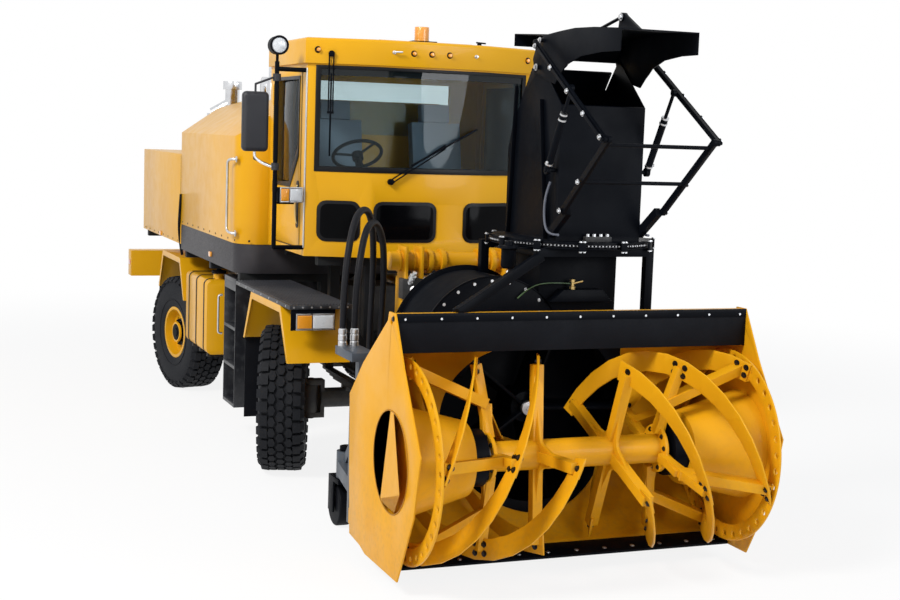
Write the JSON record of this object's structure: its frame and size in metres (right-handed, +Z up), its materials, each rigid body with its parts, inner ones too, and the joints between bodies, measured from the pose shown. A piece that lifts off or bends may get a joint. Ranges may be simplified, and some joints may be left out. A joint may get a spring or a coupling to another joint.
{
  "type": "two stage snowblower",
  "caption": "Self-propelled blower truck: cab and engine body on steered wheels, ribbon rotor head, impeller, swivelling chute with deflector.",
  "frame": {"origin": "on the ground, under the middle of the box round the whole machine", "axes": "+Z up, -Y the way the machine drives, +X its left-hand side"},
  "size_m": [3.11, 11.172, 3.83],
  "materials": {
    "yellow_paint": "gloss enamel",
    "black_paint": "satin powder coat",
    "chassis_black": "matt chassis paint",
    "screen_glass": "tinted safety glass",
    "cab_trim": "grained moulded trim",
    "mirror_shell": "semi-gloss moulded shell",
    "amber_lens": "moulded lens",
    "black_rubber": "dull rubber",
    "tyre_rubber": "dull moulded rubber",
    "hose_rubber": "braided hose cover",
    "bright_steel": "polished and plated",
    "steel": "zinc plated",
    "cast_metal": "painted casting",
    "deck_black": "ribbed tread, satin",
    "mirror_glass": "silvered",
    "clear_lens": "clear lens",
    "red_lens": "moulded lens",
    "seat_fabric": "woven cloth",
    "grey_paint": "blue-grey enamel",
    "wear_steel": "worn black edge"
  },
  "bodies": {
    "chassis": {"chassis_frame": "chassis_black", "axles_and_springs": "cast_metal", "engine_and_driveline": "cast_metal", "engine_hood": "yellow_paint", "skirts_and_flaps": "black_rubber", "rear_body": "yellow_paint", "side_tanks": "yellow_paint", "fenders": "yellow_paint", "decks_and_steps": "deck_black", "lamps": "amber_lens", "cab_shell": "yellow_paint", "cab_glass": "screen_glass", "cab_interior": "cab_trim", "mirror_posts": "black_paint", "hitch_frame": "yellow_paint"},
    "door_left": {"cab_door_left": "yellow_paint"},
    "door_right": {"cab_door_right": "yellow_paint"},
    "steering_wheel": {"steering_wheel": "cab_trim"},
    "mirror_left": {"mirror_left": "mirror_shell"},
    "mirror_right": {"mirror_right": "mirror_shell"},
    "wiper_upper": {"wiper_upper": "black_paint"},
    "wiper_lower": {"wiper_lower": "black_paint"},
    "lift_arms": {"lift_arms": "black_paint"},
    "lift_links": {"lift_links": "black_paint"},
    "lift_cylinders": {"lift_cylinders": "black_paint"},
    "lift_rods": {"lift_rods": "bright_steel"},
    "pto_shaft": {"pto_shaft": "black_paint"},
    "head": {"head_housing": "yellow_paint", "side_plates": "yellow_paint", "edge_strips": "wear_steel", "impeller_housing": "black_paint", "chute_frame": "black_paint", "head_drives": "yellow_paint", "caster_frames": "grey_paint", "hydraulic_hoses": "hose_rubber"},
    "impeller": {"impeller": "black_paint"},
    "rotor": {"rotor_shaft": "yellow_paint", "rotor_rings": "yellow_paint", "rotor_ribbons": "yellow_paint"},
    "caster_left": {"caster_fork_left": "black_paint"},
    "caster_right": {"caster_fork_right": "black_paint"},
    "caster_wheel_left": {"caster_wheel_left": "black_rubber"},
    "caster_wheel_right": {"caster_wheel_right": "black_rubber"},
    "chute": {"chute_body": "black_paint"},
    "deflector": {"deflector": "black_paint"},
    "chute_arms": {"chute_arms": "black_paint"},
    "chute_links": {"chute_links": "black_paint"},
    "chute_cylinders": {"chute_cylinders": "steel"},
    "knuckle_front_left": {"knuckle_front_left": "cast_metal"},
    "wheel_front_left": {"rim_front_left": "yellow_paint", "tyre_front_left": "tyre_rubber"},
    "knuckle_front_right": {"knuckle_front_right": "cast_metal"},
    "wheel_front_right": {"rim_front_right": "yellow_paint", "tyre_front_right": "tyre_rubber"},
    "knuckle_rear_left": {"knuckle_rear_left": "cast_metal"},
    "wheel_rear_left": {"rim_rear_left": "yellow_paint", "tyre_rear_left": "tyre_rubber"},
    "knuckle_rear_right": {"knuckle_rear_right": "cast_metal"},
    "wheel_rear_right": {"rim_rear_right": "yellow_paint", "tyre_rear_right": "tyre_rubber"}
  },
  "joints": [
    {"name": "door_left_hinge", "type": "hinge", "parent": "chassis", "child": "door_left", "pos_m": [1.028, -0.74, 2.7], "axis": [0, 0, 1], "range_deg": [0, 70]},
    {"name": "door_right_hinge", "type": "hinge", "parent": "chassis", "child": "door_right", "pos_m": [-1.028, -0.74, 2.7], "axis": [0, 0, 1], "range_deg": [-70, 0]},
    {"name": "steer_front_left", "type": "hinge", "parent": "chassis", "child": "knuckle_front_left", "pos_m": [0.865, -1.564, 0.628], "axis": [0, 0, 1], "range_deg": [-12, 48]},
    {"name": "wheel_front_left_spin", "type": "hinge", "parent": "knuckle_front_left", "child": "wheel_front_left", "pos_m": [1.08279, -1.63476, 0.628], "axis": [0.9511, -0.309, 0], "continuous": true},
    {"name": "steer_front_right", "type": "hinge", "parent": "chassis", "child": "knuckle_front_right", "pos_m": [-0.865, -1.564, 0.628], "axis": [0, 0, 1], "range_deg": [-12, 48]},
    {"name": "wheel_front_right_spin", "type": "hinge", "parent": "knuckle_front_right", "child": "wheel_front_right", "pos_m": [-1.08279, -1.49324, 0.628], "axis": [0.9511, -0.309, 0], "continuous": true},
    {"name": "steer_rear_left", "type": "hinge", "parent": "chassis", "child": "knuckle_rear_left", "pos_m": [0.865, 2.666, 0.628], "axis": [0, 0, 1], "range_deg": [-32, 8]},
    {"name": "wheel_rear_left_spin", "type": "hinge", "parent": "knuckle_rear_left", "child": "wheel_rear_left", "pos_m": [1.089, 2.71361, 0.628], "axis": [0.9781, 0.2079, 0], "continuous": true},
    {"name": "steer_rear_right", "type": "hinge", "parent": "chassis", "child": "knuckle_rear_right", "pos_m": [-0.865, 2.666, 0.628], "axis": [0, 0, 1], "range_deg": [-32, 8]},
    {"name": "wheel_rear_right_spin", "type": "hinge", "parent": "knuckle_rear_right", "child": "wheel_rear_right", "pos_m": [-1.089, 2.61839, 0.628], "axis": [0.9781, 0.2079, 0], "continuous": true},
    {"name": "steering_wheel_turn", "type": "hinge", "parent": "chassis", "child": "steering_wheel", "pos_m": [-0.48, -1.524, 2.7], "axis": [0, 0.5736, 0.8192], "range_deg": [-180, 720]},
    {"name": "mirror_left_fold", "type": "hinge", "parent": "chassis", "child": "mirror_left", "pos_m": [1.27, -1.754, 2.985], "axis": [0, 0, 1], "range_deg": [-30, 60]},
    {"name": "mirror_right_fold", "type": "hinge", "parent": "chassis", "child": "mirror_right", "pos_m": [-1.27, -1.754, 2.985], "axis": [0, 0, 1], "range_deg": [-60, 30]},
    {"name": "wiper_upper_swing", "type": "hinge", "parent": "chassis", "child": "wiper_upper", "pos_m": [-0.83, -1.83888, 3.56], "axis": [0.3294, 0.9442, 0], "range_deg": [-40, 0]},
    {"name": "wiper_lower_swing", "type": "hinge", "parent": "chassis", "child": "wiper_lower", "pos_m": [-0.33, -1.954, 2.52], "axis": [0, 1, 0], "range_deg": [-65, 0]},
    {"name": "lift", "type": "hinge", "parent": "chassis", "child": "lift_arms", "pos_m": [0, -2.784, 0.7], "axis": [-1, 0, 0], "range_deg": [0, 24]},
    {"name": "head_level", "type": "hinge", "parent": "lift_arms", "child": "head", "pos_m": [0, -3.664, 0.7], "axis": [-1, 0, 0], "range_deg": [-24, 0]},
    {"name": "lift_link_turn", "type": "hinge", "parent": "chassis", "child": "lift_links", "pos_m": [0, -2.784, 1.33], "axis": [-1, 0, 0], "range_deg": [0, 24]},
    {"name": "pto_turn", "type": "hinge", "parent": "chassis", "child": "pto_shaft", "pos_m": [0, -2.784, 1], "axis": [-1, 0, 0], "range_deg": [0, 24]},
    {"name": "lift_cylinder_turn", "type": "hinge", "parent": "chassis", "child": "lift_cylinders", "pos_m": [0, -2.764, 1.7], "axis": [-1, 0, 0], "range_deg": [0, 1.22]},
    {"name": "lift_rod_stroke", "type": "slide", "parent": "lift_cylinders", "child": "lift_rods", "axis": [0, -0.4472, -0.8944], "range_m": [-0.1852, 0]},
    {"name": "rotor_spin", "type": "hinge", "parent": "head", "child": "rotor", "pos_m": [0, -4.914, 0.84], "axis": [1, 0, 0], "continuous": true},
    {"name": "impeller_spin", "type": "hinge", "parent": "head", "child": "impeller", "pos_m": [0, -4.059, 1], "axis": [0, 1, 0], "continuous": true},
    {"name": "caster_left_swivel", "type": "hinge", "parent": "head", "child": "caster_left", "pos_m": [1.13, -3.454, 0.6], "axis": [0, 0, 1], "continuous": true},
    {"name": "caster_left_spin", "type": "hinge", "parent": "caster_left", "child": "caster_wheel_left", "pos_m": [1.13, -3.344, 0.16], "axis": [1, 0, 0], "continuous": true},
    {"name": "caster_right_swivel", "type": "hinge", "parent": "head", "child": "caster_right", "pos_m": [-1.13, -3.454, 0.6], "axis": [0, 0, 1], "continuous": true},
    {"name": "caster_right_spin", "type": "hinge", "parent": "caster_right", "child": "caster_wheel_right", "pos_m": [-1.13, -3.344, 0.16], "axis": [1, 0, 0], "continuous": true},
    {"name": "chute_swing", "type": "hinge", "parent": "head", "child": "chute", "pos_m": [0.27, -4.184, 2.2], "axis": [0, 0, 1], "range_deg": [-110, 110]},
    {"name": "deflector_tilt", "type": "hinge", "parent": "chute", "child": "deflector", "pos_m": [0.27, -4.244, 3.42], "axis": [1, 0, 0], "range_deg": [0, 25]},
    {"name": "chute_arm_turn", "type": "hinge", "parent": "chute", "child": "chute_arms", "pos_m": [0.27, -4.824, 2.46], "axis": [1, 0, 0], "range_deg": [0, 6.7]},
    {"name": "chute_link_turn", "type": "hinge", "parent": "chute_arms", "child": "chute_links", "pos_m": [0.27, -5.434, 2.94], "axis": [1, 0, 0], "range_deg": [-5.5, 0]},
    {"name": "chute_ram_turn", "type": "hinge", "parent": "chute", "child": "chute_cylinders", "pos_m": [0.27, -4.564, 2.72], "axis": [1, 0, 0], "range_deg": [0, 7.6]}
  ],
  "couplings": [
    {"joint": "steer_front_left", "follows": "steer_front_right", "ratio": 1},
    {"joint": "steer_rear_left", "follows": "steer_front_right", "ratio": -0.66667},
    {"joint": "steer_rear_right", "follows": "steer_front_right", "ratio": -0.66667},
    {"joint": "steering_wheel_turn", "follows": "steer_front_right", "ratio": 15},
    {"joint": "head_level", "follows": "lift", "ratio": -1},
    {"joint": "lift_link_turn", "follows": "lift", "ratio": 1},
    {"joint": "pto_turn", "follows": "lift", "ratio": 1},
    {"joint": "lift_cylinder_turn", "follows": "lift", "ratio": 0.03},
    {"joint": "lift_rod_stroke", "follows": "lift", "m_per_rad": -0.43745},
    {"joint": "impeller_spin", "follows": "rotor_spin", "ratio": 2},
    {"joint": "chute_arm_turn", "follows": "deflector_tilt", "ratio": 0.265},
    {"joint": "chute_link_turn", "follows": "deflector_tilt", "ratio": -0.216},
    {"joint": "chute_ram_turn", "follows": "deflector_tilt", "ratio": 0.303}
  ]
}
